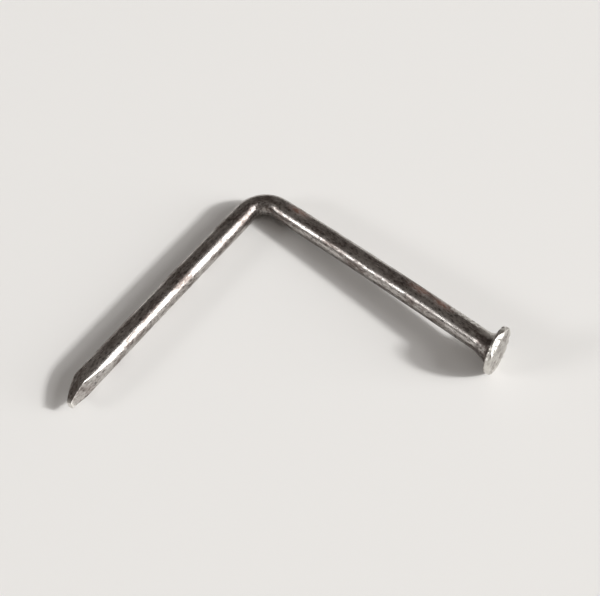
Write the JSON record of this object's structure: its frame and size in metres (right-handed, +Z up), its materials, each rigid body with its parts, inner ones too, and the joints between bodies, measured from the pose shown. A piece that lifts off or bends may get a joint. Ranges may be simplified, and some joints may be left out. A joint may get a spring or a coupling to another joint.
{
  "type": "bent nail",
  "caption": "Round steel wire nail bent sharply at its middle, with a flat head knocked askew, grip marks under the head and a blunted four-sided point.",
  "frame": {"origin": "middle of the bounding box at the surface the nail lies on", "axes": "+X from the point leg towards the head, +Y towards the bend, +Z up from the surface it lies on"},
  "size_m": [0.0688, 0.0414, 0.0081],
  "materials": {
    "steel": "drawn wire, dull grey-brown on top with bright worn streaks, specks of dirt and a little rust"
  },
  "bodies": {
    "root": {"bent_nail": "steel"}
  },
  "joints": []
}
